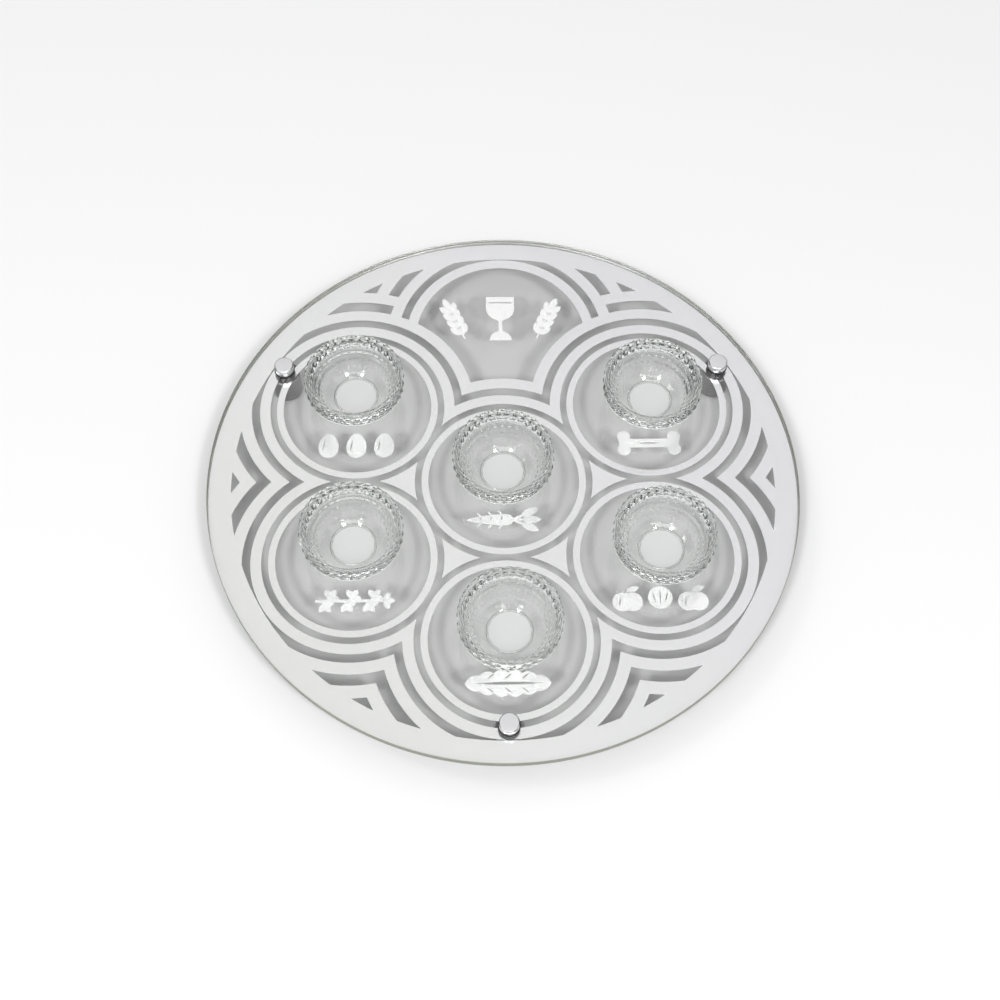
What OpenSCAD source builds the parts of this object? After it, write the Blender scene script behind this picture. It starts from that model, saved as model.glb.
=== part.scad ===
// Round glass seder plate on three screwed legs, with a silver foil pattern
// under the glass and six loose cut-glass bowls.
// Millimetres, +Z up. The origin is the plate's centre on the table, -Y is the front.

/* [Plate] */
// Diameter of the glass disc
plate_d = 400; // [340:1:460]
// Thickness of the glass
plate_t = 5; // [4:0.5:10]
// Width of the bevel along both edges of the glass
plate_bevel = 0.5; // [0.2:0.1:1.5]
// Height of the glass underside above the table
stand_h = 25; // [20:1:60]

/* [Foil pattern] */
// Thickness of the silver foil under the glass
foil_t = 0.2; // [0.1:0.05:0.4]
// Bare glass between the foil and the edge of the disc
foil_inset = 0.6; // [0.4:0.1:3]
// Width of the plain rim
rim_w = 15.4; // [8:0.2:30]
// Hairline of bare glass between the rim and the rounds inside it
hairline = 0.7; // [0.4:0.1:2]
// Width of the ring round each bowl place
ring_w = 4.6; // [3:0.1:9]
// Bare gap between rings, and between a ring and the band round it
ring_gap = 4.5; // [3:0.1:7]
// Width of the band that runs round all the rings
band_w = 7.1; // [4:0.1:10]
// Bare gap outside that band
band_gap = 5.7; // [3:0.1:8]
// Width of the bar outside that gap
bar_w = 8; // [5:0.1:10]
// Bare gap between the bar and the chevrons
bar_gap = 7.5; // [4:0.1:9]
// Width of the chevrons
chevron_w = 8.5; // [5:0.1:10]

/* [Food signs] */
// Height of the sign in front of each bowl
sign_h = 19; // [12:0.5:22]
// Height of the cup and wheat sign at the back
cup_sign_h = 37.5; // [24:0.5:44]
// Width of the bare lines inside the signs
sign_line = 1; // [0.6:0.1:1.4]

/* [Legs] */
// Distance from the edge of the glass to each leg's axis
leg_inset = 24.5; // [16:0.5:40]
// Diameter of the leg
leg_d = 20; // [14:0.5:30]
// Width of the bevel round the leg's foot
leg_bevel = 1.2; // [0.4:0.1:2]
// Diameter of the cap on top of the glass
cap_d = 13.3; // [11:0.1:24]
// Height of the cap
cap_h = 5.5; // [5:0.1:12]
// Width of the bevel round the cap
cap_bevel = 0.7; // [0.3:0.1:1.2]
// Diameter of the threaded stud
stud_d = 6; // [4:0.5:8]
// Length of stud inside the cap
stud_in_cap = 3.6; // [2.5:0.1:4]
// Length of stud inside the leg
stud_in_leg = 11; // [8:0.5:12]
// Space round the stud in the glass
bore_clear = 1; // [0.5:0.1:2]
// Space round the stud in the cap, the washers and the leg
stud_clear = 0.05; // [0.02:0.01:0.1]
// Thickness of the rubber washers above and below the glass
washer_t = 1; // [0.5:0.1:2]
// How far the upper washer shows round the cap
washer_show = 0.4; // [0:0.1:1]
// Diameter of the rubber pad under the leg
pad_d = 15; // [8:0.5:16]
// Thickness of the rubber pad
pad_t = 2.5; // [2:0.1:4]
// How far the pad stands out of the leg
pad_show = 1.5; // [1:0.1:1.8]

/* [Bowls] */
// Outer diameter of the bowl over the points of its cut belt
bowl_d = 68; // [56:1:78]
// Height of the bowl
bowl_h = 30; // [24:0.5:45]
// Thickness of the glass at the lip
lip_w = 4.4; // [3.4:0.1:5.4]
// Width of the bevels on the lip
lip_bevel = 0.5; // [0.2:0.1:0.8]
// Diameter of the foot
foot_d = 32; // [24:1:44]
// Height of the foot
foot_h = 2.5; // [1.5:0.1:4]
// Diameter of the flat floor inside
floor_d = 28; // [16:1:34]
// Thickness of the floor
floor_t = 4; // [3:0.1:7]
// Width of the ring the bowl stands on
foot_ring_w = 1.7; // [1:0.1:6]
// Depth of the ground hollow inside that ring
punt_t = 0.8; // [0.4:0.1:1.5]
// Number of cut diamonds round the belt
belt_cuts = 36; // [24:1:48]
// Height of the cut belt
belt_h = 9.6; // [6:0.2:12]
// Distance from the top of the belt to the lip
belt_drop = 0.7; // [0.5:0.1:2]
// How far the points of the belt stand out from the plain glass
belt_proud = 1.5; // [1.2:0.1:2.2]
// How far the belt's top and bottom edges lie inside its points
belt_fall = 0.7; // [0.3:0.1:0.9]

/* [Hidden] */
$fn = 96;
leaf_fn = 720;
overrun = 1;
back_left = 150;
back_right = 30;
front_left = 210;
front_right = 330;
front = 270;
leg_angles = [back_left, back_right, front];
outer_angles = [back_left, front_left, front, front_right, back_right];

// Rounds of the pattern: each neighbour ring keeps ring_gap, and the whole fits the rim.
foil_r = plate_d / 2 - foil_inset;
rim_in = foil_r - rim_w;
pitch = (rim_in - hairline - ring_gap / 2 - band_w) * 2 / 3;
ring_out = (pitch - ring_gap) / 2;
ring_in = ring_out - ring_w;
band_in = ring_out + ring_gap;
band_out = band_in + band_w;
bar_in = band_out + band_gap;
bar_out = bar_in + bar_w;
chevron_in = bar_out + bar_gap;
chevron_out = chevron_in + chevron_w;
function polar(r, a) = [r * cos(a), r * sin(a)];
places = concat([[0, 0]], [for (a = outer_angles) polar(pitch, a)]);
back_place = [0, pitch];

// Where each bowl was set down in its ring, as shares of the ring's inner radius.
bowl_place_shares = [
    [-0.014, 0.06], [-0.012, 0.11], [0.01, 0.14], [0.03, 0.05], [0.043, 0.04], [0.035, 0.02]
];
sign_drop_share = 0.59;
cup_sign_rise_share = 0.31;

glass_z = stand_h;
top_z = glass_z + plate_t;
foil_z = glass_z - foil_t;
leg_r = plate_d / 2 - leg_inset;
bore_d = stud_d + 2 * bore_clear;
stud_bore_d = stud_d + 2 * stud_clear;
low_washer_z = foil_z - washer_t;
cap_z = top_z + washer_t;

bowl_r = bowl_d / 2;
core_r = bowl_r - belt_proud;
inner_lip_r = bowl_r - lip_w;
belt_top = bowl_h - belt_drop;
belt_low = belt_top - belt_h;
belt_mid = belt_low + belt_h / 2;
belt_edge_r = bowl_r - belt_fall;
belt_root_r = (inner_lip_r + core_r) / 2;

// Height of the centre, on the axis, of the ball through two points given as [radius, height].
function ball_z(p, q) = (q * q - p * p) / (2 * (q[1] - p[1]));
outer_ball_z = ball_z([foot_d / 2, foot_h], [core_r, belt_low]);
outer_ball_r = norm([foot_d / 2, foot_h - outer_ball_z]);
inner_ball_z = ball_z([floor_d / 2, floor_t], [inner_lip_r, bowl_h]);
inner_ball_r = norm([floor_d / 2, floor_t - inner_ball_z]);

GLASS = [0.78, 0.86, 0.83, 0.4];
CRYSTAL = [0.86, 0.90, 0.88, 0.5];
FOIL = [0.86, 0.86, 0.87];
WHITE_FOIL = [0.95, 0.95, 0.95];
SATIN = [0.72, 0.72, 0.73];
STEEL = [0.55, 0.55, 0.57];
RUBBER = [0.12, 0.12, 0.12];

// Glass disc
module at_leg(a) translate(concat(polar(leg_r, a), 0)) children();
module glass_plate() color(GLASS) difference() {
    rotate_extrude() polygon([
        [0, glass_z],
        [plate_d / 2 - plate_bevel, glass_z],
        [plate_d / 2, glass_z + plate_bevel],
        [plate_d / 2, top_z - plate_bevel],
        [plate_d / 2 - plate_bevel, top_z],
        [0, top_z]
    ]);
    for (a = leg_angles) at_leg(a) translate([0, 0, glass_z - overrun])
        cylinder(d = bore_d, h = plate_t + 2 * overrun);
}

// Foil pattern
module rounds(r) for (p = places) translate(p) circle(r);
module back_round(r) translate(back_place) circle(r);
module stud_holes() for (a = leg_angles) translate(polar(leg_r, a)) circle(d = bore_d);
module foil(shade) color(shade) translate([0, 0, foil_z]) linear_extrude(foil_t) difference() {
    children();
    stud_holes();
}
module bare_windows() {
    rounds(bar_in);
    difference() {
        back_round(band_in);
        rounds(bar_out);
    }
    difference() {
        back_round(bar_in);
        back_round(band_out);
        rounds(bar_out);
    }
    difference() {
        rounds(chevron_in);
        rounds(bar_out);
        back_round(bar_out);
    }
    difference() {
        back_round(chevron_in);
        back_round(bar_out);
        rounds(chevron_out);
    }
    difference() {
        circle(rim_in);
        rounds(chevron_out);
        back_round(chevron_out);
    }
}
module rim_fret() foil(FOIL) difference() {
    circle(foil_r);
    intersection() {
        circle(rim_in);
        bare_windows();
    }
}
module round_band() foil(FOIL) difference() {
    rounds(band_out);
    rounds(band_in);
    polygon(places);
}
module ring(i) foil(FOIL) translate(places[i]) difference() {
    circle(ring_out);
    circle(ring_in);
}
module island(i) foil(FOIL) difference() {
    intersection() {
        polygon([places[0], places[i], places[i + 1]]);
        rounds(band_out);
    }
    rounds(band_in);
}

// Food signs, drawn round their own middle, with widths as shares of their height
module leaf(length, width) {
    r = (length * length + width * width) / (4 * width);
    intersection() {
        translate([0, r - width / 2]) circle(r, $fn = leaf_fn);
        translate([0, width / 2 - r]) circle(r, $fn = leaf_fn);
    }
}
module bar(length, width) square([length, width], center = true);
function both_sides(edge) = concat(
    [for (p = edge) [p[0], -p[1]]],
    [for (i = [len(edge) - 2:-1:1]) edge[i]]
);
module sign(i) foil(WHITE_FOIL) translate(places[i] - [0, ring_in * sign_drop_share]) children();

egg_pitch_share = 1;
egg_width_share = 0.72;
egg_taper_share = 0.14;
egg_step = 10;
module egg(h) difference() {
    w = h * egg_width_share;
    polygon([for (a = [0:egg_step:360 - egg_step])
        [w / 2 * cos(a) * (1 - egg_taper_share * sin(a)), h / 2 * sin(a)]]);
    translate([-w / 4, 0]) rotate(80) leaf(h / 2, sign_line);
}
module sign_eggs() sign(1) for (k = [-1:1]) translate([k * sign_h * egg_pitch_share, 0]) egg(sign_h);

bone_length_share = 2.3;
bone_shaft_share = 0.36;
bone_knob_share = 0.24;
module bone_end(h) for (side = [-1, 1])
    translate([0, side * h * (1 / 2 - bone_knob_share)]) circle(h * bone_knob_share);
module sign_bone() sign(5) {
    reach = sign_h * (bone_length_share / 2 - bone_knob_share);
    shaft_h = sign_h * bone_shaft_share;
    difference() {
        union() {
            bar(2 * reach, shaft_h);
            for (side = [-1, 1]) translate([side * reach, 0]) {
                bone_end(sign_h);
                bar(shaft_h, sign_h / 2);
            }
        }
        leaf(reach, sign_line);
    }
}

root_length_share = 1.7;
root_width_share = 0.56;
root_leaf_share = 0.72;
root_stalk_share = 0.3;
root_leaf_angles = [-26, 0, 26];
root_hair_shares = [0.3, 0.52, 0.74];
root_steps = 16;
function root_half(t) = root_width_share / 2 * pow(t, 0.6) * sqrt(1 - pow(t, 8));
module sign_root() sign(0) {
    body = sign_h * root_length_share;
    stalk = sign_h * root_stalk_share;
    blade = sign_h * root_leaf_share;
    translate([-(body + stalk + blade) / 2, 0]) {
        difference() {
            polygon(both_sides([for (k = [0:root_steps]) let (t = k / root_steps)
                [body * t, sign_h * root_half(t)]]));
            for (t = root_hair_shares) translate([body * t, sign_h * root_half(t) / 3])
                rotate(70) leaf(sign_h * root_half(t), sign_line);
        }
        for (t = root_hair_shares, side = [-1, 1]) translate([body * t, side * sign_h * root_half(t)])
            rotate(side * 130) bar(sign_h / 3, sign_line);
        translate([body - sign_line, 0]) for (a = root_leaf_angles) rotate(a) {
            translate([stalk / 2, 0]) bar(stalk + sign_line, 2 * sign_line);
            translate([stalk + blade / 2, 0]) leaf(blade, blade * 2 / 5);
        }
    }
}

parsley_length_share = 3;
parsley_leaf_share = 0.38;
parsley_twig_share = 0.17;
parsley_stalk_angle = 55;
parsley_leaf_angles = [-70, 0, 70];
module parsley_leaf(h) for (a = parsley_leaf_angles)
    rotate(a) translate([h * parsley_leaf_share / 2 - sign_line, 0])
        leaf(h * parsley_leaf_share, h * parsley_leaf_share * 3 / 5);
module sign_parsley() sign(2) {
    stalk = sign_h * parsley_length_share;
    twig = sign_h * parsley_twig_share;
    bar(stalk - 3 * twig, 2 * sign_line);
    translate([stalk / 2 - 2 * twig, 0]) parsley_leaf(sign_h);
    for (k = [0:2], side = [-1, 1])
        translate([stalk * (k - 1) / 4 + (side - 2) * twig / 2, 0]) rotate(side * parsley_stalk_angle) {
            translate([twig / 2, 0]) bar(twig, 2 * sign_line);
            translate([twig, 0]) parsley_leaf(sign_h);
        }
}

lettuce_length_share = 2.9;
lettuce_lobes = 6;
lettuce_notch_share = 0.24;
lettuce_steps = 36;
function lettuce_half(t) =
    sqrt(sin(180 * t)) / 2 * (1 - lettuce_notch_share * (1 - abs(sin(180 * lettuce_lobes * t))));
module sign_lettuce() sign(3) {
    long = sign_h * lettuce_length_share;
    difference() {
        polygon(both_sides([for (k = [0:lettuce_steps]) let (t = k / lettuce_steps)
            [long * (t - 1 / 2), sign_h * lettuce_half(t)]]));
        leaf(long * 4 / 5, 2 * sign_line);
        for (k = [-1:1], side = [-1, 1])
            translate([long * k / 5, side * sign_h / 4]) rotate(side * 40) leaf(sign_h / 3, sign_line);
    }
}

apple_pitch_share = 0.42;
apple_lobe_share = 0.35;
apple_leaf_share = 0.42;
nut_share = 0.42;
module apple(h) {
    lobe = h * apple_lobe_share;
    translate([0, lobe - h / 2]) difference() {
        for (side = [-1, 1]) translate([side * lobe / 2, 0]) circle(lobe);
        translate([-lobe * 3 / 4, 0]) rotate(80) leaf(lobe, sign_line);
    }
    translate([0, 2 * lobe - h / 2]) rotate(75) bar(h / 3, sign_line);
    translate([h * apple_leaf_share / 2, h / 2 - lobe / 2]) rotate(20)
        leaf(h * apple_leaf_share, h * apple_leaf_share / 2);
}
module sign_apples() sign(4) {
    for (side = [-1, 1]) translate([side * ring_in * apple_pitch_share, 0]) apple(sign_h);
    difference() {
        circle(sign_h * nut_share);
        rotate(90) leaf(sign_h * nut_share * 3 / 2, sign_line);
        for (side = [-1, 1]) translate([side * sign_h * nut_share / 2, 0])
            rotate(90 - side * 15) leaf(sign_h * nut_share, sign_line);
    }
}

cup_bowl_share = 0.27;
cup_stem_share = 0.07;
cup_foot_share = 0.42;
ear_lean = 24;
ear_place_share = 0.55;
ear_grains = 4;
grain_share = 0.26;
module cup(h) {
    r = h * cup_bowl_share;
    translate([0, h / 2 - r]) difference() {
        union() {
            intersection() {
                circle(r);
                translate([-r, -r]) square([2 * r, r]);
            }
            translate([-r, 0]) square([2 * r, r]);
        }
        translate([0, r / 2]) bar(2 * r - 4 * sign_line, sign_line);
    }
    translate([0, -h / 4]) bar(h * cup_stem_share, h / 2);
    circle(h * cup_stem_share);
    translate([0, -h / 2]) intersection() {
        circle(h * cup_foot_share / 2);
        translate([-h, 0]) square([2 * h, h * cup_foot_share / 2]);
    }
}
module wheat_ear(h) {
    grain = h * grain_share;
    translate([0, -h / 8]) bar(sign_line, h * 3 / 4);
    translate([0, h / 2 - grain / 2]) rotate(90) leaf(grain, grain / 2);
    for (k = [0:ear_grains - 1], side = [-1, 1])
        translate([side * grain / 3, h / 2 - grain * (k * 2 / 3 + 1)]) rotate(90 - side * 30)
            leaf(grain, grain / 2);
}
module sign_cup_wheat() foil(WHITE_FOIL) translate(back_place + [0, ring_in * cup_sign_rise_share]) {
    cup(cup_sign_h);
    for (side = [-1, 1]) translate([side * band_in * ear_place_share, 0])
        rotate(-side * ear_lean) wheat_ear(cup_sign_h);
}

// Legs
module cap() color(SATIN) difference() {
    rotate_extrude() polygon([
        [0, cap_z],
        [cap_d / 2, cap_z],
        [cap_d / 2, cap_z + cap_h - cap_bevel],
        [cap_d / 2 - cap_bevel, cap_z + cap_h],
        [0, cap_z + cap_h]
    ]);
    translate([0, 0, cap_z - overrun]) cylinder(d = stud_bore_d, h = overrun + stud_in_cap + stud_clear);
}
module washer(d, z) color(RUBBER) translate([0, 0, z]) difference() {
    cylinder(d = d, h = washer_t);
    translate([0, 0, -overrun]) cylinder(d = stud_bore_d, h = washer_t + 2 * overrun);
}
module upper_washer() washer(cap_d + 2 * washer_show, top_z);
module lower_washer() washer(leg_d - 2 * leg_bevel, low_washer_z);
module stud() color(STEEL) {
    tip = stud_d / 12;
    low = low_washer_z - stud_in_leg;
    high = cap_z + stud_in_cap;
    rotate_extrude() polygon([
        [0, low], [stud_d / 2 - tip, low], [stud_d / 2, low + tip],
        [stud_d / 2, high - tip], [stud_d / 2 - tip, high], [0, high]
    ]);
}
module leg() color(SATIN) difference() {
    rotate_extrude() polygon([
        [0, pad_show],
        [leg_d / 2 - leg_bevel, pad_show],
        [leg_d / 2, pad_show + leg_bevel],
        [leg_d / 2, low_washer_z - leg_bevel / 2],
        [leg_d / 2 - leg_bevel / 2, low_washer_z],
        [0, low_washer_z]
    ]);
    translate([0, 0, low_washer_z - stud_in_leg - stud_clear])
        cylinder(d = stud_bore_d, h = stud_in_leg + stud_clear + overrun);
    translate([0, 0, -overrun]) cylinder(d = pad_d, h = overrun + pad_t);
}
module foot_pad() color(RUBBER) cylinder(d = pad_d, h = pad_t);

// Bowls
module bowl_section() difference() {
    union() {
        intersection() {
            translate([0, outer_ball_z]) circle(outer_ball_r);
            translate([0, foot_h]) square([core_r, bowl_h - foot_h]);
        }
        square([foot_d / 2, floor_t]);
    }
    intersection() {
        translate([0, inner_ball_z]) circle(inner_ball_r);
        translate([0, floor_t]) square([bowl_r, bowl_h]);
    }
    square([foot_d / 2 - foot_ring_w, punt_t]);
    for (edge = [inner_lip_r, core_r]) translate([edge, bowl_h]) rotate(45)
        square(lip_bevel * sqrt(2), center = true);
}
function belt_row(r, z, half) = [for (i = [0:belt_cuts - 1])
    concat(polar(r, (i + half) * 360 / belt_cuts), z)];
module cut_belt() {
    n = belt_cuts;
    sides = [for (i = [0:n - 1]) [i, (i + 1) % n]];
    polyhedron(
        points = concat(
            belt_row(belt_root_r, belt_low - belt_fall, 0),
            belt_row(belt_edge_r, belt_low, 0),
            belt_row(bowl_r, belt_mid, 1 / 2),
            belt_row(belt_edge_r, belt_top, 0),
            belt_row(belt_root_r, belt_top, 0)
        ),
        faces = [for (s = sides, f = [
            [s[0], n + s[0], s[1]], [s[1], n + s[0], n + s[1]],
            [n + s[0], 2 * n + s[0], n + s[1]],
            [2 * n + s[0], 2 * n + s[1], n + s[1]],
            [2 * n + s[0], 3 * n + s[0], 3 * n + s[1]],
            [2 * n + s[0], 3 * n + s[1], 2 * n + s[1]],
            [3 * n + s[0], 4 * n + s[0], 3 * n + s[1]], [3 * n + s[1], 4 * n + s[0], 4 * n + s[1]],
            [4 * n + s[0], s[0], 4 * n + s[1]], [4 * n + s[1], s[0], s[1]]
        ]) f]
    );
}
module bowl(i) color(CRYSTAL) translate(concat(places[i] + ring_in * bowl_place_shares[i], top_z)) {
    rotate_extrude() bowl_section();
    cut_belt();
}

glass_plate();
rim_fret();
round_band();
ring(0);  // ring_centre
ring(1);  // ring_back_left
ring(2);  // ring_front_left
ring(3);  // ring_front
ring(4);  // ring_front_right
ring(5);  // ring_back_right
island(1);  // island_left
island(2);  // island_front_left
island(3);  // island_front_right
island(4);  // island_right
sign_root();
sign_eggs();
sign_parsley();
sign_lettuce();
sign_apples();
sign_bone();
sign_cup_wheat();
at_leg(back_left) cap();  // cap_back_left
at_leg(back_right) cap();  // cap_back_right
at_leg(front) cap();  // cap_front
at_leg(back_left) upper_washer();  // upper_washer_back_left
at_leg(back_right) upper_washer();  // upper_washer_back_right
at_leg(front) upper_washer();  // upper_washer_front
at_leg(back_left) stud();  // stud_back_left
at_leg(back_right) stud();  // stud_back_right
at_leg(front) stud();  // stud_front
at_leg(back_left) lower_washer();  // lower_washer_back_left
at_leg(back_right) lower_washer();  // lower_washer_back_right
at_leg(front) lower_washer();  // lower_washer_front
at_leg(back_left) leg();  // leg_back_left
at_leg(back_right) leg();  // leg_back_right
at_leg(front) leg();  // leg_front
at_leg(back_left) foot_pad();  // foot_pad_back_left
at_leg(back_right) foot_pad();  // foot_pad_back_right
at_leg(front) foot_pad();  // foot_pad_front
bowl(0);  // bowl_centre
bowl(1);  // bowl_back_left
bowl(2);  // bowl_front_left
bowl(3);  // bowl_front
bowl(4);  // bowl_front_right
bowl(5);  // bowl_back_right
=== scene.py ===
import math

import bmesh
import bpy
from mathutils import Matrix, Vector


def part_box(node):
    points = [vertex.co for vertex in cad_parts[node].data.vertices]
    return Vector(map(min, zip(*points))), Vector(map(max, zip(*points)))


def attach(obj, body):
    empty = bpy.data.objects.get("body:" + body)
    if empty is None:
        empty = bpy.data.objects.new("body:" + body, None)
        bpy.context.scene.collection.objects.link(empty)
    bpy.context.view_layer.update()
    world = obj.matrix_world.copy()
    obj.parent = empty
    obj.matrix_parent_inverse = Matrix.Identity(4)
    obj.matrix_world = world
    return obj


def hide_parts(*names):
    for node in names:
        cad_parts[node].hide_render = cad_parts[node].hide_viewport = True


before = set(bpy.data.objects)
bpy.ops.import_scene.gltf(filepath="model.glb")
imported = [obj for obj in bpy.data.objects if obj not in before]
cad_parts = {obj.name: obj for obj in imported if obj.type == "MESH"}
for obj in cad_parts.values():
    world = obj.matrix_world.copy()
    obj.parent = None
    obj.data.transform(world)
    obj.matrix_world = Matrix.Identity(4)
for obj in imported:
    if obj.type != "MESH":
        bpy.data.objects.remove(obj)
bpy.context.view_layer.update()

# A round glass plate on three screwed legs, silver foil under the glass, six cut-glass bowls on top.
# Metres, +Z up, the front towards -Y.


# Meshes

def finishMesh(bm, name, sharp=40):
    bmesh.ops.remove_doubles(bm, verts=bm.verts[:], dist=1e-6)
    bmesh.ops.recalc_face_normals(bm, faces=bm.faces[:])
    mesh = bpy.data.meshes.new(name)
    bm.to_mesh(mesh)
    bm.free()
    mesh.set_sharp_from_angle(angle=math.radians(sharp))
    piece = bpy.data.objects.new(name, mesh)
    bpy.context.scene.collection.objects.link(piece)
    return piece


def ringOf(bm, radius, z, steps, turn=0.0, centre=(0, 0)):
    place = Matrix.Translation((centre[0], centre[1], z)) @ Matrix.Rotation(turn, 4, "Z")
    made = bmesh.ops.create_circle(bm, cap_ends=False, segments=steps, radius=radius, matrix=place)
    return list(dict.fromkeys(edge for vert in made["verts"] for edge in vert.link_edges))


def bridge(bm, first, second):
    return bmesh.ops.bridge_loops(bm, edges=first + second)["faces"]


def fillFlat(bm, edges):
    # Fills between coplanar loops: the outer one and the holes inside it.
    bmesh.ops.triangle_fill(bm, use_beauty=True, use_dissolve=False, edges=edges)


def openEdges(bm, low, high):
    return [edge for edge in bm.edges if edge.is_boundary and low < edge.verts[0].co.z < high]


def lathe(bm, profile, steps):
    verts = [bm.verts.new((radius, 0, z)) for radius, z in profile]
    edges = [bm.edges.new(pair) for pair in zip(verts, verts[1:])]
    made = bmesh.ops.spin(bm, geom=verts + edges, axis=(0, 0, 1), cent=(0, 0, 0), dvec=(0, 0, 0),
                          angle=math.tau, steps=steps, use_merge=True, use_duplicate=False)
    bmesh.ops.remove_doubles(bm, verts=bm.verts[:], dist=1e-7)
    return made


def roundCorners(bm, width, steps=3, least=25):
    sharp = [edge for edge in bm.edges if len(edge.link_faces) == 2 and
             edge.calc_face_angle() > math.radians(least)]
    bmesh.ops.bevel(bm, geom=sharp, offset=width, offset_type="OFFSET", segments=steps,
                    profile=0.5, affect="EDGES", material=-1, clamp_overlap=True)


def shadeSmooth(bm):
    for face in bm.faces:
        face.smooth = True


def legPlaces():
    places = {}
    for name in ("back_left", "back_right", "front"):
        low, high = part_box("stud_" + name)
        places[name] = (low + high) / 2
    return places


def dress(piece, node, body, material):
    piece.data.materials.append(material)
    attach(piece, body)
    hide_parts(node)
    return piece


# Materials

def newMaterial(name):
    material = bpy.data.materials.new(name)
    material.use_nodes = True
    tree = material.node_tree
    tree.nodes.clear()
    output = tree.nodes.new("ShaderNodeOutputMaterial")
    shader = tree.nodes.new("ShaderNodeBsdfPrincipled")
    tree.links.new(shader.outputs["BSDF"], output.inputs["Surface"])
    return material, tree, shader, output


def newGroup(name, inputs, outputs):
    group = bpy.data.node_groups.new(name, "ShaderNodeTree")
    for label, kind, value in inputs:
        socket = group.interface.new_socket(name=label, in_out="INPUT", socket_type=kind)
        if value is not None:
            socket.default_value = value
    for label, kind in outputs:
        group.interface.new_socket(name=label, in_out="OUTPUT", socket_type=kind)
    return group, group.nodes.new("NodeGroupInput"), group.nodes.new("NodeGroupOutput")


def grainGroup():
    group, given, result = newGroup(
        "grain",
        [("Scale", "NodeSocketFloat", 900.0), ("Strength", "NodeSocketFloat", 0.1),
         ("Height", "NodeSocketFloat", 0.00005), ("Low", "NodeSocketFloat", 0.25),
         ("High", "NodeSocketFloat", 0.35)],
        [("Roughness", "NodeSocketFloat"), ("Normal", "NodeSocketVector"), ("Mask", "NodeSocketFloat")])
    nodes, links = group.nodes, group.links
    where = nodes.new("ShaderNodeTexCoord")
    fine = nodes.new("ShaderNodeTexNoise")
    fine.inputs["Detail"].default_value = 3
    links.new(where.outputs["Object"], fine.inputs["Vector"])
    links.new(given.outputs["Scale"], fine.inputs["Scale"])
    broad = nodes.new("ShaderNodeTexNoise")
    broad.inputs["Scale"].default_value = 22
    broad.inputs["Detail"].default_value = 2
    links.new(where.outputs["Object"], broad.inputs["Vector"])
    spread = nodes.new("ShaderNodeMapRange")
    links.new(broad.outputs["Fac"], spread.inputs["Value"])
    spread.inputs["From Min"].default_value = 0.3
    spread.inputs["From Max"].default_value = 0.7
    links.new(given.outputs["Low"], spread.inputs["To Min"])
    links.new(given.outputs["High"], spread.inputs["To Max"])
    bump = nodes.new("ShaderNodeBump")
    links.new(given.outputs["Strength"], bump.inputs["Strength"])
    links.new(given.outputs["Height"], bump.inputs["Distance"])
    links.new(fine.outputs["Fac"], bump.inputs["Height"])
    links.new(spread.outputs["Result"], result.inputs["Roughness"])
    links.new(bump.outputs["Normal"], result.inputs["Normal"])
    links.new(fine.outputs["Fac"], result.inputs["Mask"])
    return group


def turnedGroup():
    group, given, result = newGroup(
        "turned rings",
        [("Centre X", "NodeSocketFloat", 0.0), ("Centre Y", "NodeSocketFloat", 0.0),
         ("Spacing", "NodeSocketFloat", 0.00012), ("Strength", "NodeSocketFloat", 0.1)],
        [("Normal", "NodeSocketVector"), ("Mask", "NodeSocketFloat")])
    nodes, links = group.nodes, group.links
    where = nodes.new("ShaderNodeTexCoord")
    parts = nodes.new("ShaderNodeSeparateXYZ")
    links.new(where.outputs["Object"], parts.inputs["Vector"])
    across = []
    for axis, label in (("X", "Centre X"), ("Y", "Centre Y")):
        shift = nodes.new("ShaderNodeMath")
        shift.operation = "SUBTRACT"
        links.new(parts.outputs[axis], shift.inputs[0])
        links.new(given.outputs[label], shift.inputs[1])
        across.append(shift)
    flat = nodes.new("ShaderNodeCombineXYZ")
    links.new(across[0].outputs["Value"], flat.inputs["X"])
    links.new(across[1].outputs["Value"], flat.inputs["Y"])
    radius = nodes.new("ShaderNodeVectorMath")
    radius.operation = "LENGTH"
    links.new(flat.outputs["Vector"], radius.inputs[0])
    both = nodes.new("ShaderNodeMath")
    both.operation = "ADD"
    links.new(radius.outputs["Value"], both.inputs[0])
    links.new(parts.outputs["Z"], both.inputs[1])
    count = nodes.new("ShaderNodeMath")
    count.operation = "DIVIDE"
    links.new(both.outputs["Value"], count.inputs[0])
    links.new(given.outputs["Spacing"], count.inputs[1])
    lines = nodes.new("ShaderNodeTexNoise")
    lines.noise_dimensions = "1D"
    lines.inputs["Scale"].default_value = 1
    lines.inputs["Detail"].default_value = 4
    links.new(count.outputs["Value"], lines.inputs["W"])
    bump = nodes.new("ShaderNodeBump")
    bump.inputs["Distance"].default_value = 0.00004
    links.new(given.outputs["Strength"], bump.inputs["Strength"])
    links.new(lines.outputs["Fac"], bump.inputs["Height"])
    links.new(bump.outputs["Normal"], result.inputs["Normal"])
    links.new(lines.outputs["Fac"], result.inputs["Mask"])
    return group


def mathNode(tree, operation, first, second):
    node = tree.nodes.new("ShaderNodeMath")
    node.operation = operation
    for socket, value in zip(node.inputs, (first, second)):
        if isinstance(value, (int, float)):
            socket.default_value = value
        else:
            tree.links.new(value, socket)
    return node.outputs["Value"]


def rangeNode(tree, value, source, target, smooth=False):
    node = tree.nodes.new("ShaderNodeMapRange")
    if smooth:
        node.interpolation_type = "SMOOTHSTEP"
    tree.links.new(value, node.inputs["Value"])
    node.inputs["From Min"].default_value, node.inputs["From Max"].default_value = source
    node.inputs["To Min"].default_value, node.inputs["To Max"].default_value = target
    return node.outputs["Result"]


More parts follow.
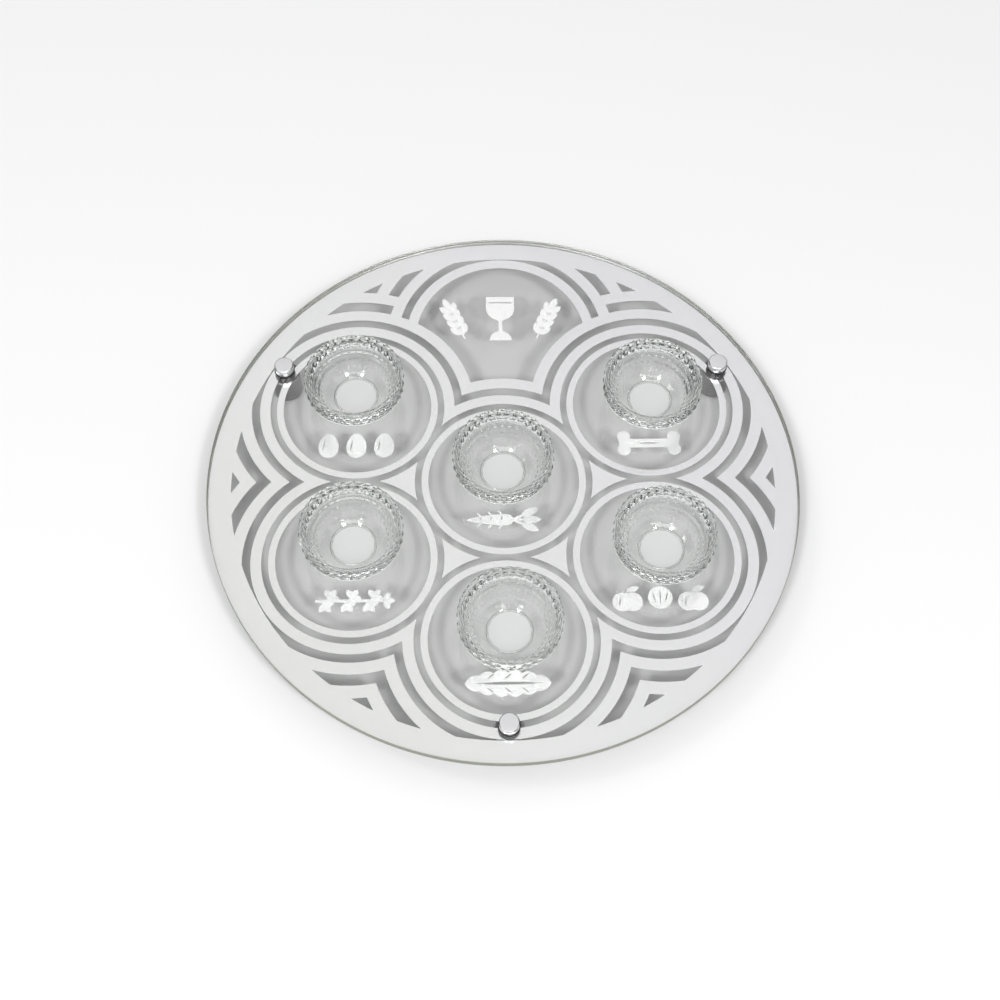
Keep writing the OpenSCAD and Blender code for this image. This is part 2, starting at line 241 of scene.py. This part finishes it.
def blendTones(tree, factor, first, second):
    # Either tone may be a colour or an output socket.
    node = tree.nodes.new("ShaderNodeMix")
    node.data_type = "RGBA"
    tree.links.new(factor, node.inputs["Factor"])
    for label, tone in (("A", first), ("B", second)):
        if isinstance(tone, tuple):
            node.inputs[label].default_value = (*tone, 1)
        else:
            tree.links.new(tone, node.inputs[label])
    return node.outputs["Result"]


def placeGroup(tree, group, values):
    node = tree.nodes.new("ShaderNodeGroup")
    node.node_tree = group
    for label, value in values.items():
        node.inputs[label].default_value = value
    return node


def seeThroughToLight(tree, shader, output, facing=(1, 1, 1), edge=(1, 1, 1), blend=0.5):
    # Light reaches what lies under the glass: shadow and diffuse rays pass, dimmed where it is edge on.
    path = tree.nodes.new("ShaderNodeLightPath")
    soft = mathNode(tree, "MAXIMUM", path.outputs["Is Shadow Ray"], path.outputs["Is Diffuse Ray"])
    rim = tree.nodes.new("ShaderNodeLayerWeight")
    rim.inputs["Blend"].default_value = blend
    clear = tree.nodes.new("ShaderNodeBsdfTransparent")
    mix = tree.nodes.new("ShaderNodeMixShader")
    tree.links.new(blendTones(tree, rim.outputs["Facing"], facing, edge), clear.inputs["Color"])
    tree.links.new(soft, mix.inputs["Fac"])
    tree.links.new(shader.outputs["BSDF"], mix.inputs[1])
    tree.links.new(clear.outputs["BSDF"], mix.inputs[2])
    tree.links.new(mix.outputs["Shader"], output.inputs["Surface"])


def groundMaterial(name, look, grain):
    material, tree, shader, output = newMaterial(name)
    shader.inputs["Metallic"].default_value = 0
    shader.inputs["Transmission Weight"].default_value = look["clear"]
    shader.inputs["IOR"].default_value = look["ior"]
    marks = placeGroup(tree, grain, {"Scale": look["grain"], "Strength": look["grainStrength"],
                                     "Height": 0.00005, "Low": look["rough"][0], "High": look["rough"][1]})
    tone = blendTones(tree, marks.outputs["Mask"], look["low"], look["high"])
    tree.links.new(tone, shader.inputs["Base Color"])
    tree.links.new(marks.outputs["Roughness"], shader.inputs["Roughness"])
    tree.links.new(marks.outputs["Normal"], shader.inputs["Normal"])
    seeThroughToLight(tree, shader, output)
    return material


def glassMaterial(name, look, grain, pressed=None):
    material, tree, shader, output = newMaterial(name)
    shader.inputs["Base Color"].default_value = (*look["tint"], 1)
    shader.inputs["Metallic"].default_value = 0
    shader.inputs["Transmission Weight"].default_value = 1
    shader.inputs["IOR"].default_value = look["ior"]
    marks = placeGroup(tree, grain, {"Scale": look["waves"], "Strength": look["waveStrength"],
                                     "Height": look["waveHeight"], "Low": look["smooth"][0],
                                     "High": look["smooth"][1]})
    tree.links.new(marks.outputs["Roughness"], shader.inputs["Roughness"])
    normal = marks.outputs["Normal"]
    if pressed:
        cells = placeGroup(tree, pressed, look["pressed"])
        tree.links.new(normal, cells.inputs["Normal"])
        normal = cells.outputs["Normal"]
    tree.links.new(normal, shader.inputs["Normal"])
    body = tree.nodes.new("ShaderNodeVolumeAbsorption")
    body.inputs["Color"].default_value = (*look["depthTint"], 1)
    body.inputs["Density"].default_value = look["density"]
    tree.links.new(body.outputs["Volume"], output.inputs["Volume"])
    seeThroughToLight(tree, shader, output, look["shadowFacing"], look["shadowEdge"], look["shadowBlend"])
    return material


def foilMaterial(name, look, grain):
    material, tree, shader, output = newMaterial(name)
    where = tree.nodes.new("ShaderNodeTexCoord")
    turn = tree.nodes.new("ShaderNodeMapping")
    turn.inputs["Rotation"].default_value = (0, 0, math.radians(look["lean"]))
    tree.links.new(where.outputs["Object"], turn.inputs["Vector"])
    parts = tree.nodes.new("ShaderNodeSeparateXYZ")
    tree.links.new(turn.outputs["Vector"], parts.inputs["Vector"])
    # Painted sheen: the tone ramp runs across the plate along the lean angle, so the silver is lighter in a
    # broad middle band; the cloud adds random patches of tone.
    spread = rangeNode(tree, parts.outputs["X"], (-0.2, 0.2), (0, 1))
    cloud = tree.nodes.new("ShaderNodeTexNoise")
    cloud.inputs["Scale"].default_value = look["cloudScale"]
    cloud.inputs["Detail"].default_value = 1
    tree.links.new(where.outputs["Object"], cloud.inputs["Vector"])
    ripple = tree.nodes.new("ShaderNodeMath")
    ripple.operation = "MULTIPLY_ADD"
    tree.links.new(cloud.outputs["Fac"], ripple.inputs[0])
    ripple.inputs[1].default_value = look["cloud"]
    tree.links.new(spread, ripple.inputs[2])
    ramp = tree.nodes.new("ShaderNodeValToRGB")
    tree.links.new(ripple.outputs["Value"], ramp.inputs["Fac"])
    while len(ramp.color_ramp.elements) < len(look["tones"]):
        ramp.color_ramp.elements.new(0.5)
    for stop, (place, tone) in zip(ramp.color_ramp.elements, look["tones"]):
        stop.position = place
        stop.color = (*tone, 1)
    facing = tree.nodes.new("ShaderNodeSeparateXYZ")
    tree.links.new(where.outputs["Normal"], facing.inputs["Vector"])
    under = rangeNode(tree, facing.outputs["Z"], (-0.6, -0.3), (1, 0))
    tone = blendTones(tree, under, ramp.outputs["Color"], look["back"])
    tree.links.new(tone, shader.inputs["Base Color"])
    shader.inputs["Metallic"].default_value = look["metallic"]
    marks = placeGroup(tree, grain, {"Scale": look["grain"], "Strength": look["grainStrength"],
                                     "Height": 0.00002, "Low": look["rough"][0], "High": look["rough"][1]})
    tree.links.new(marks.outputs["Roughness"], shader.inputs["Roughness"])
    tree.links.new(marks.outputs["Normal"], shader.inputs["Normal"])
    return material


def metalMaterial(name, look, grain, turned, centre):
    material, tree, shader, output = newMaterial(name)
    rings = placeGroup(tree, turned, {"Centre X": centre[0], "Centre Y": centre[1],
                                      "Spacing": look["spacing"], "Strength": look["ringStrength"]})
    marks = placeGroup(tree, grain, {"Scale": look["grain"], "Strength": look["grainStrength"],
                                     "Height": 0.00002, "Low": look["rough"][0], "High": look["rough"][1]})
    tone = blendTones(tree, rings.outputs["Mask"], look["low"], look["high"])
    tree.links.new(tone, shader.inputs["Base Color"])
    tree.links.new(marks.outputs["Roughness"], shader.inputs["Roughness"])
    tree.links.new(rings.outputs["Normal"], shader.inputs["Normal"])
    shader.inputs["Metallic"].default_value = 1
    return material


def rubberMaterial(look, grain):
    material, tree, shader, output = newMaterial("black rubber")
    marks = placeGroup(tree, grain, {"Scale": look["grain"], "Strength": look["grainStrength"],
                                     "Height": 0.00005, "Low": look["rough"][0], "High": look["rough"][1]})
    tone = blendTones(tree, marks.outputs["Mask"], look["low"], look["high"])
    tree.links.new(tone, shader.inputs["Base Color"])
    tree.links.new(marks.outputs["Roughness"], shader.inputs["Roughness"])
    tree.links.new(marks.outputs["Normal"], shader.inputs["Normal"])
    return material


def pressedGroup():
    # Rows of shallow diamonds pressed into the outer wall, fading out towards the foot.
    group, given, result = newGroup(
        "pressed cells",
        [("Cells", "NodeSocketFloat", 36.0), ("Rows", "NodeSocketFloat", 3.0),
         ("Strength", "NodeSocketFloat", 0.5), ("Height", "NodeSocketFloat", 0.0003),
         ("Rings", "NodeSocketFloat", 0.5), ("Normal", "NodeSocketVector", None)],
        [("Normal", "NodeSocketVector")])
    tree, links = group, group.links
    where = tree.nodes.new("ShaderNodeUVMap")
    where.uv_map = "pressed"
    parts = tree.nodes.new("ShaderNodeSeparateXYZ")
    links.new(where.outputs["UV"], parts.inputs["Vector"])
    turns = mathNode(tree, "MULTIPLY", mathNode(tree, "MULTIPLY", parts.outputs["X"], given.outputs["Cells"]),
                     math.tau)
    steps = mathNode(tree, "MULTIPLY", mathNode(tree, "MULTIPLY", parts.outputs["Y"], given.outputs["Rows"]),
                     math.tau)
    rings = mathNode(tree, "COSINE", steps, 0)
    cells = mathNode(tree, "MULTIPLY", mathNode(tree, "COSINE", turns, 0), rings)
    wave = mathNode(tree, "ADD", mathNode(tree, "MULTIPLY", rings, given.outputs["Rings"]), cells)
    fade = rangeNode(tree, parts.outputs["Y"], (0.12, 0.5), (0, 1), smooth=True)
    bump = tree.nodes.new("ShaderNodeBump")
    links.new(given.outputs["Strength"], bump.inputs["Strength"])
    links.new(given.outputs["Height"], bump.inputs["Distance"])
    links.new(mathNode(tree, "MULTIPLY", wave, fade), bump.inputs["Height"])
    links.new(given.outputs["Normal"], bump.inputs["Normal"])
    links.new(bump.outputs["Normal"], result.inputs["Normal"])
    return group


grain = grainGroup()
turned = turnedGroup()
pressed = pressedGroup()
print("shared node groups made")


# Camera, matched to the photograph's view

viewPoint = {
    "aim": (-0.00017, 0.00103, 0.0268),
    "distance": 1.04467,
    "elevation": 61.549,
    "azimuth": -2.703,
    "roll": 1.833,
    "lens": 55.45,
    "shift": (-0.0035, -0.0213),
}


def makeCamera(look):
    lift, around = math.radians(look["elevation"]), math.radians(look["azimuth"])
    back = Vector((math.sin(around) * math.cos(lift), -math.cos(around) * math.cos(lift), math.sin(lift)))
    right = Vector((math.cos(around), math.sin(around), 0))
    up = back.cross(right)
    roll = math.radians(look["roll"])
    right, up = (right * math.cos(roll) + up * math.sin(roll),
                 up * math.cos(roll) - right * math.sin(roll))
    turn = Matrix((right, up, back)).transposed().to_4x4()
    data = bpy.data.cameras.new("camera")
    data.sensor_width = 36
    data.lens = look["lens"]
    data.shift_x, data.shift_y = look["shift"]
    data.clip_start, data.clip_end = 0.01, 50
    camera = bpy.data.objects.new("camera", data)
    camera.matrix_world = Matrix.Translation(Vector(look["aim"]) + back * look["distance"]) @ turn
    bpy.context.scene.collection.objects.link(camera)
    bpy.context.scene.camera = camera


makeCamera(viewPoint)
print("camera placed")


# Studio: white floor, white background, soft lamps

studio = {
    "floorSize": 3.2,
    "floorTone": (0.96, 0.96, 0.96),
    "fill": 0.57,          # soft light from the tent, at its top
    "fillLow": 0.02,       # and at the height of the table
    "openings": [
        # direction round the plate, height angle, half width, blur, what is left of the light
        (267, 62, 8, 5, 0.10),
        (165, 22, 26, 5, 0.0),
        (105, 20, 16, 4, 0.0),
        (60, 26, 12, 4, 0.0),
        (20, 20, 26, 5, 0.0),
        (318, 22, 18, 5, 0.0),
        (240, 18, 16, 5, 0.0),
    ],
    "lamps": [
        # name, direction round the plate, height angle, distance, width and depth, power
        ("left key lamp", 236, 52, 3.8, (0.54, 0.54), 41),
        ("right key lamp", 304, 52, 3.8, (0.54, 0.54), 39),
        ("top lamp", 262, 66, 4.0, (2.7, 0.6), 23),
        ("left lamp", 168, 54, 3.8, (0.6, 0.6), 8),
    ],
}


def towards(around, height):
    turn, lift = math.radians(around), math.radians(height)
    return Vector((math.cos(turn) * math.cos(lift), math.sin(turn) * math.cos(lift), math.sin(lift)))


def makeWorld(look):
    # Camera rays see plain white; glass and metal see a white tent with a few soft dark openings.
    world = bpy.data.worlds.new("studio")
    bpy.context.scene.world = world
    world.use_nodes = True
    tree = world.node_tree
    tree.nodes.clear()
    output = tree.nodes.new("ShaderNodeOutputWorld")
    where = tree.nodes.new("ShaderNodeTexCoord")
    path = tree.nodes.new("ShaderNodeLightPath")
    parts = tree.nodes.new("ShaderNodeSeparateXYZ")
    tree.links.new(where.outputs["Generated"], parts.inputs["Vector"])
    fill = rangeNode(tree, parts.outputs["Z"], (0, 0.9), (look["fillLow"], look["fill"]))
    tent = None
    for around, height, width, blur, left in look["openings"]:
        near = tree.nodes.new("ShaderNodeVectorMath")
        near.operation = "DOT_PRODUCT"
        tree.links.new(where.outputs["Generated"], near.inputs[0])
        near.inputs[1].default_value = towards(around, height)
        limits = (math.cos(math.radians(width + blur)), math.cos(math.radians(width)))
        spot = rangeNode(tree, near.outputs["Value"], limits, (1, left), smooth=True)
        tent = spot if tent is None else mathNode(tree, "MULTIPLY", tent, spot)
    mirror = mathNode(tree, "MAXIMUM", path.outputs["Is Glossy Ray"], path.outputs["Is Transmission Ray"])
    shades = []
    for strength in (fill, tent):
        shade = tree.nodes.new("ShaderNodeBackground")
        shade.inputs["Color"].default_value = (1, 1, 1, 1)
        tree.links.new(strength, shade.inputs["Strength"])
        shades.append(shade)
    white = tree.nodes.new("ShaderNodeBackground")
    white.inputs["Color"].default_value = (1, 1, 1, 1)
    white.inputs["Strength"].default_value = 1
    inner = tree.nodes.new("ShaderNodeMixShader")
    tree.links.new(mirror, inner.inputs["Fac"])
    tree.links.new(shades[0].outputs["Background"], inner.inputs[1])
    tree.links.new(shades[1].outputs["Background"], inner.inputs[2])
    outer = tree.nodes.new("ShaderNodeMixShader")
    tree.links.new(path.outputs["Is Camera Ray"], outer.inputs["Fac"])
    tree.links.new(inner.outputs["Shader"], outer.inputs[1])
    tree.links.new(white.outputs["Background"], outer.inputs[2])
    tree.links.new(outer.outputs["Shader"], output.inputs["Surface"])


def makeStudio(look):
    scene = bpy.context.scene
    scene.view_settings.view_transform = "Standard"
    makeWorld(look)
    bm = bmesh.new()
    bmesh.ops.create_grid(bm, x_segments=1, y_segments=1, size=look["floorSize"] / 2)
    mesh = bpy.data.meshes.new("floor")
    bm.to_mesh(mesh)
    bm.free()
    floor = bpy.data.objects.new("floor", mesh)
    scene.collection.objects.link(floor)
    material, tree, shader, output = newMaterial("white table")
    shader.inputs["Base Color"].default_value = (*look["floorTone"], 1)
    shader.inputs["Roughness"].default_value = 0.9
    shader.inputs["Specular IOR Level"].default_value = 0
    mesh.materials.append(material)
    for name, around, height, distance, size, power in look["lamps"]:
        data = bpy.data.lights.new(name, "AREA")
        data.shape = "RECTANGLE"
        data.size, data.size_y = size
        data.energy = power
        lamp = bpy.data.objects.new(name, data)
        lamp.location = towards(around, height) * distance
        lamp.rotation_mode = "QUATERNION"
        lamp.rotation_quaternion = towards(around, height).to_track_quat("Z", "Y")
        scene.collection.objects.link(lamp)


makeStudio(studio)
print("studio lit")


# Glass plate

plate = {
    "edge": 0.0005,        # width of the polished edge
    "edgeSteps": 4,
    "strip": 0.0004,       # flat band beside the edge that keeps its shading crisp
    "steps": 288,
    "boreRadius": 0.004,
    "boreSteps": 48,
    "seat": 0.00003,       # air between the glass and what touches it
    "groundEdge": {
        "clear": 0.25, "ior": 1.5, "grain": 900.0, "grainStrength": 0.3, "rough": (0.30, 0.45),
        "low": (0.25, 0.26, 0.21), "high": (0.36, 0.37, 0.31),
    },
    "look": {
        "tint": (1.0, 1.0, 1.0),
        "ior": 1.5,
        "waves": 6.0, "waveStrength": 0.02, "waveHeight": 0.0001,
        "smooth": (0.0, 0.01),
        "depthTint": (0.70, 0.78, 0.70), "density": 10.0,
        "shadowFacing": (0.81, 0.81, 0.81), "shadowEdge": (0.60, 0.60, 0.60), "shadowBlend": 0.3,
    },
}


def makePlate(look, legs):
    low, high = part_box("glass_plate")
    radius = (high.x - low.x) / 2
    bottom, top = low.z + look["seat"], high.z - look["seat"]
    edge, steps = look["edge"], look["steps"]
    rim = []
    for quarter, z, side in ((0, bottom + edge, -1), (1, top - edge, 1)):
        for k in range(look["edgeSteps"] + 1):
            angle = math.radians(90) * (1 - k / look["edgeSteps"] if side < 0 else k / look["edgeSteps"])
            rim.append((radius - edge + edge * math.cos(angle), z + side * edge * math.sin(angle)))
    rim = [(radius - edge - look["strip"], bottom)] + rim + [(radius - edge - look["strip"], top)]
    bm = bmesh.new()
    lathe(bm, rim, steps)
    for face in bm.faces:
        face.material_index = 1 if math.hypot(*face.calc_center_median().xy) > radius - edge else 0
    for place in legs.values():
        bridge(bm, *(ringOf(bm, look["boreRadius"], z, look["boreSteps"], centre=place)
                     for z in (bottom, top)))
    middle = (bottom + top) / 2
    fillFlat(bm, openEdges(bm, -1, middle))
    fillFlat(bm, openEdges(bm, middle, 1))
    shadeSmooth(bm)
    piece = finishMesh(bm, "plate_glass_disc", 60)
    dress(piece, "glass_plate", "stand", glassMaterial("plate glass", look["look"], grain))
    piece.data.materials.append(groundMaterial("ground edge", look["groundEdge"], grain))


legs = legPlaces()
makePlate(plate, legs)
print("glass plate made")


# Foil

foil = {
    "silver": {
        "lean": -35, "cloudScale": 5.0, "cloud": 0.25,
        "tones": [(0.0, (0.80, 0.80, 0.79)), (0.45, (0.84, 0.84, 0.84)), (0.75, (0.83, 0.82, 0.84)),
                  (1.0, (0.80, 0.79, 0.82))],
        "metallic": 0.9, "grain": 1500.0, "grainStrength": 0.12, "rough": (0.16, 0.22),
        "back": (0.12, 0.12, 0.12),
    },
    "white": {
        "lean": 0, "cloudScale": 8.0, "cloud": 0.2,
        "tones": [(0.0, (0.99, 0.99, 0.99)), (1.0, (1.0, 1.0, 1.0))],
        "metallic": 1.0, "grain": 1500.0, "grainStrength": 0.1, "rough": (0.30, 0.36),
        "back": (0.55, 0.55, 0.55),
    },
}


def dressFoil(look):
    silver = foilMaterial("silver foil", look["silver"], grain)
    white = foilMaterial("white foil", look["white"], grain)
    for name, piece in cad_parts.items():
        kind = name.split("_")[0]
        if kind in ("rim", "round", "ring", "island", "sign"):
            piece.data.materials.clear()
            piece.data.materials.append(white if kind == "sign" else silver)


dressFoil(foil)
print("foil finished")


# Caps, studs, washers, legs and pads

fittings = {
    "steps": 96,
    "metal": {"spacing": 0.00018, "ringStrength": 0.25, "grain": 1200.0, "grainStrength": 0.1,
              "rough": (0.24, 0.34), "low": (0.66, 0.66, 0.67), "high": (0.76, 0.76, 0.77)},
    # The legs are painted dark for the shade under the plate; the coarse turned bands mottle them from near
    # black to mid grey as painted glints.
    "shadedLegMetal": {"spacing": 0.0016, "ringStrength": 0.3, "grain": 420.0, "grainStrength": 0.5,
                 "rough": (0.25, 0.5), "low": (0.05, 0.05, 0.05), "high": (0.42, 0.42, 0.42)},
    "steel": {"spacing": 0.0004, "ringStrength": 0.2, "grain": 1200.0, "grainStrength": 0.1,
              "rough": (0.2, 0.3), "low": (0.5, 0.5, 0.51), "high": (0.6, 0.6, 0.61)},
    "rubber": {"grain": 1600.0, "grainStrength": 0.4, "rough": (0.55, 0.75),
               "low": (0.012, 0.012, 0.012), "high": (0.03, 0.03, 0.03)},
}
cap = {"bevel": 0.0007, "boreRadius": 0.00305, "boreDepth": 0.00365, "soften": 0.00018}
leg = {"footBevel": 0.0012, "headBevel": 0.0006, "boreRadius": 0.00305, "boreDepth": 0.01105,
       "recessRadius": 0.0075, "recessDepth": 0.001, "soften": 0.00015}
washer = {"boreRadius": 0.00305, "soften": 0.00025}
pad = {"soften": 0.0004}
stud = {"pitch": 0.001, "depth": 0.00058, "steps": 36}


def turnedPiece(name, profile, place, soften, steps=None):
    bm = bmesh.new()
    lathe(bm, profile, steps or fittings["steps"])
    roundCorners(bm, soften)
    shadeSmooth(bm)
    bmesh.ops.translate(bm, verts=bm.verts[:], vec=(place.x, place.y, 0))
    return finishMesh(bm, name, 50)


def capProfile(low, high):
    radius, bevel = (high.x - low.x) / 2, cap["bevel"]
    return [(0, low.z + cap["boreDepth"]), (cap["boreRadius"], low.z + cap["boreDepth"]),
            (cap["boreRadius"], low.z), (radius, low.z), (radius, high.z - bevel),
            (radius - bevel, high.z), (0, high.z)]


def legProfile(low, high):
    radius, foot, head = (high.x - low.x) / 2, leg["footBevel"], leg["headBevel"]
    return [(0, low.z + leg["recessDepth"]), (leg["recessRadius"], low.z + leg["recessDepth"]),
            (leg["recessRadius"], low.z), (radius - foot, low.z), (radius, low.z + foot),
            (radius, high.z - head), (radius - head, high.z), (leg["boreRadius"], high.z),
            (leg["boreRadius"], high.z - leg["boreDepth"]), (0, high.z - leg["boreDepth"])]


def washerProfile(low, high):
    radius = (high.x - low.x) / 2
    return [(washer["boreRadius"], low.z), (radius, low.z), (radius, high.z),
            (washer["boreRadius"], high.z), (washer["boreRadius"], low.z)]


def padProfile(low, high):
    radius = (high.x - low.x) / 2
    return [(0, low.z), (radius, low.z), (radius, high.z), (0, high.z)]


def threadedStud(name, low, high, place):
    # One turn of thread is spun upwards, then cut to the stud's length.
    radius, pitch, steps = (high.x - low.x) / 2, stud["pitch"], stud["steps"]
    turns = math.ceil((high.z - low.z) / pitch) + 2
    root = radius - stud["depth"]
    start = low.z - pitch
    tooth = [(root, start), (root, start + pitch * 0.125), (radius, start + pitch * 0.5),
             (radius, start + pitch * 0.625), (root, start + pitch)]
    bm = bmesh.new()
    verts = [bm.verts.new((r, 0, z)) for r, z in tooth]
    edges = [bm.edges.new(pair) for pair in zip(verts, verts[1:])]
    bmesh.ops.spin(bm, geom=verts + edges, axis=(0, 0, 1), cent=(0, 0, 0), dvec=(0, 0, pitch / steps),
                   angle=math.tau * turns, steps=steps * turns, use_merge=False, use_duplicate=False)
    bmesh.ops.remove_doubles(bm, verts=bm.verts[:], dist=1e-6)
    for z, side in ((low.z, -1), (high.z, 1)):
        everything = bm.verts[:] + bm.edges[:] + bm.faces[:]
        bmesh.ops.bisect_plane(bm, geom=everything, dist=1e-8, plane_co=(0, 0, z),
                               plane_no=(0, 0, side), clear_outer=True)
        rim = [edge for edge in bm.edges if edge.is_boundary and
               all(abs(vert.co.z - z) < 1e-6 for vert in edge.verts)]
        bmesh.ops.holes_fill(bm, edges=rim, sides=0)
    shadeSmooth(bm)
    bmesh.ops.translate(bm, verts=bm.verts[:], vec=(place.x, place.y, 0))
    return finishMesh(bm, name, 35)


def makeFittings():
    rubber = rubberMaterial(fittings["rubber"], grain)
    for spot, place in legs.items():
        metal = metalMaterial("satin metal " + spot.replace("_", " "), fittings["metal"], grain, turned, place)
        # Painted shade: the legs take the dark, mottled metal.
        dark = metalMaterial("shaded leg metal " + spot.replace("_", " "), fittings["shadedLegMetal"], grain, turned, place)
        steel = metalMaterial("stud steel " + spot.replace("_", " "), fittings["steel"], grain, turned, place)
        for kind, profile, soften, slot, material in (
                ("cap", capProfile, cap["soften"], "satin_metal", metal),
                ("leg", legProfile, leg["soften"], "satin_metal", dark),
                ("upper_washer", washerProfile, washer["soften"], "rubber", rubber),
                ("lower_washer", washerProfile, washer["soften"], "rubber", rubber),
                ("foot_pad", padProfile, pad["soften"], "rubber", rubber)):
            node = kind + "_" + spot
            low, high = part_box(node)
            piece = turnedPiece("turned_" + node, profile(low, high), place, soften)
            dress(piece, node, "stand", material)
        low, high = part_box("stud_" + spot)
        dress(threadedStud("threaded_stud_" + spot, low, high, place), "stud_" + spot,
              "stand", steel)


makeFittings()
print("caps, studs, washers, legs and pads made")


# Bowls

bowl = {
    "names": ("centre", "back_left", "front_left", "front", "front_right", "back_right"),
    "steps": 144,
    "cuts": 36,            # diamonds round the belt
    "lip": 0.0044,
    "footRadius": 0.016,
    "footHeight": 0.0025,
    "floorRadius": 0.014,
    "floorHeight": 0.004,
    "puntRadius": 0.0143,
    "puntDepth": 0.0008,
    "beltHeight": 0.0096,
    "beltDrop": 0.0007,
    "beltProud": 0.0016,
    "beltFall": 0.0003,
    "groove": 0.0008,      # the grooves end this far outside the wall
    "soften": 0.0004,
    "arcSteps": 22,
    "seat": 0.00004,
    # White ground glass for the punt and the foot's side, partly painted light: its white also stands in for
    # the light focused under the bowl and the highlights round its base.
    "ground": {
        "clear": 0.25, "ior": 1.5, "grain": 1400.0, "grainStrength": 0.5, "rough": (0.5, 0.65),
        "low": (0.80, 0.80, 0.80), "high": (0.94, 0.94, 0.94),
    },
    "look": {
        "tint": (1.0, 1.0, 1.0),
        "pressed": {"Cells": 36.0, "Rows": 5.0, "Strength": 1.0, "Height": 0.00011, "Rings": 2.0},
        "ior": 1.57,
        "waves": 60.0, "waveStrength": 0.10, "waveHeight": 0.0006,
        "smooth": (0.0, 0.015),
        "depthTint": (0.30, 0.50, 0.38), "density": 4.0,
        "shadowFacing": (1.0, 1.0, 1.0), "shadowEdge": (0.72, 0.73, 0.72), "shadowBlend": 0.3,
    },
}


def ballCentre(first, second):
    # Height of the centre, on the axis, of the ball through two points given as (radius, height).
    (r1, z1), (r2, z2) = first, second
    return (r2 * r2 + z2 * z2 - r1 * r1 - z1 * z1) / (2 * (z2 - z1))


def ballArc(first, second, steps):
    centre = ballCentre(first, second)
    start, end = (math.atan2(z - centre, r) for r, z in (first, second))
    size = math.hypot(first[0], first[1] - centre)
    return [(size * math.cos(start + (end - start) * k / steps),
             centre + size * math.sin(start + (end - start) * k / steps)) for k in range(steps + 1)]


def notchedRing(bm, peak, valley, z, cuts, turn):
    # Peaks and valleys take turns round the ring; the first peak is at the turn angle.
    edges = ringOf(bm, valley, z, 2 * cuts)
    for vert in dict.fromkeys(vert for edge in edges for vert in edge.verts):
        angle = math.atan2(vert.co.y, vert.co.x) - turn
        if round(angle / (math.pi / cuts)) % 2 == 0:
            vert.co.xy *= peak / valley
    return edges


def pressUV(bm, middle, base, ballHeight, core, beltLow):
    # U counts round the bowl and V up the outer wall; the inside keeps V at zero.
    layer = bm.loops.layers.uv.new("pressed")
    size = math.hypot(core, beltLow - ballHeight)
    for face in bm.faces:
        centre = face.calc_center_median()
        across = math.atan2(centre.y - middle.y, centre.x - middle.x)
        outer = abs(math.hypot(centre.x - middle.x, centre.y - middle.y, centre.z - base - ballHeight)
                    - size) < 0.0002
        for loop in face.loops:
            spot = loop.vert.co
            angle = math.atan2(spot.y - middle.y, spot.x - middle.x)
            angle += math.tau * round((across - angle) / math.tau)
            loop[layer].uv = (angle / math.tau, (spot.z - base) / beltLow if outer else 0)


def makeBowl(name, material, ground):
    low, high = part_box("bowl_" + name)
    middle, tall = (low + high) / 2, high.z - low.z - bowl["seat"]
    outer = (high.x - low.x) / 2 / math.cos(math.pi / bowl["cuts"])
    inner, core = outer - bowl["lip"], outer - bowl["beltProud"]
    beltTop = tall - bowl["beltDrop"]
    beltLow = beltTop - bowl["beltHeight"]
    beltMid = (beltTop + beltLow) / 2
    edgeRadius = outer - bowl["beltFall"]
    floorEdge = (bowl["floorRadius"], bowl["floorHeight"])
    footEdge = (bowl["footRadius"], bowl["footHeight"])
    inside = ballArc(floorEdge, (inner, tall), bowl["arcSteps"])
    outside = ballArc(footEdge, (core, beltLow), bowl["arcSteps"])
    top = [(0, bowl["floorHeight"])] + inside + [(core, tall), (core, beltTop)]
    under = [(0, bowl["puntDepth"]), (bowl["puntRadius"], bowl["puntDepth"]), (bowl["puntRadius"], 0),
             (bowl["footRadius"], 0)] + outside
    bm = bmesh.new()
    lathe(bm, top, bowl["steps"])
    lathe(bm, under, bowl["steps"])
    # The punt ceiling and the foot's outer side take the white ground glass, which partly paints the light
    # focused under the bowl and the highlights round its base.
    for face in bm.faces:
        spot = face.calc_center_median()
        ceiling = abs(spot.z - bowl["puntDepth"]) < 1e-6 and abs(face.normal.z) > 0.99
        side = spot.z < bowl["footHeight"] - 1e-6 and math.hypot(spot.x, spot.y) > bowl["footRadius"] * 0.98
        if ceiling or side:
            face.material_index = 1
    roundCorners(bm, bowl["soften"])
    upper = openEdges(bm, beltMid, 1)
    lower = openEdges(bm, -1, beltMid)
    shadeSmooth(bm)
    half = math.pi / bowl["cuts"]
    rows = [notchedRing(bm, radius, core + bowl["groove"], z, bowl["cuts"], turn)
            for radius, z, turn in ((edgeRadius, beltTop, 0), (outer, beltMid, half), (edgeRadius, beltLow, 0))]
    facets = bridge(bm, rows[0], rows[1]) + bridge(bm, rows[1], rows[2])
    fillFlat(bm, upper + rows[0])
    fillFlat(bm, rows[2] + lower)
    bmesh.ops.triangulate(bm, faces=facets, quad_method="SHORT_EDGE")
    bmesh.ops.recalc_face_normals(bm, faces=bm.faces[:])
    bmesh.ops.translate(bm, verts=bm.verts[:], vec=(middle.x, middle.y, low.z + bowl["seat"]))
    pressUV(bm, middle, low.z + bowl["seat"], ballCentre(footEdge, (core, beltLow)), core, beltLow)
    piece = finishMesh(bm, "cut_bowl_" + name, 6)
    dress(piece, "bowl_" + name, name + "_bowl", material)
    piece.data.materials.append(ground)


bowlGlass = glassMaterial("bowl glass", bowl["look"], grain, pressed)
groundGlassAndPaintedLight = groundMaterial("ground glass with painted light", bowl["ground"], grain)
for name in bowl["names"]:
    makeBowl(name, bowlGlass, groundGlassAndPaintedLight)
print("bowls made")
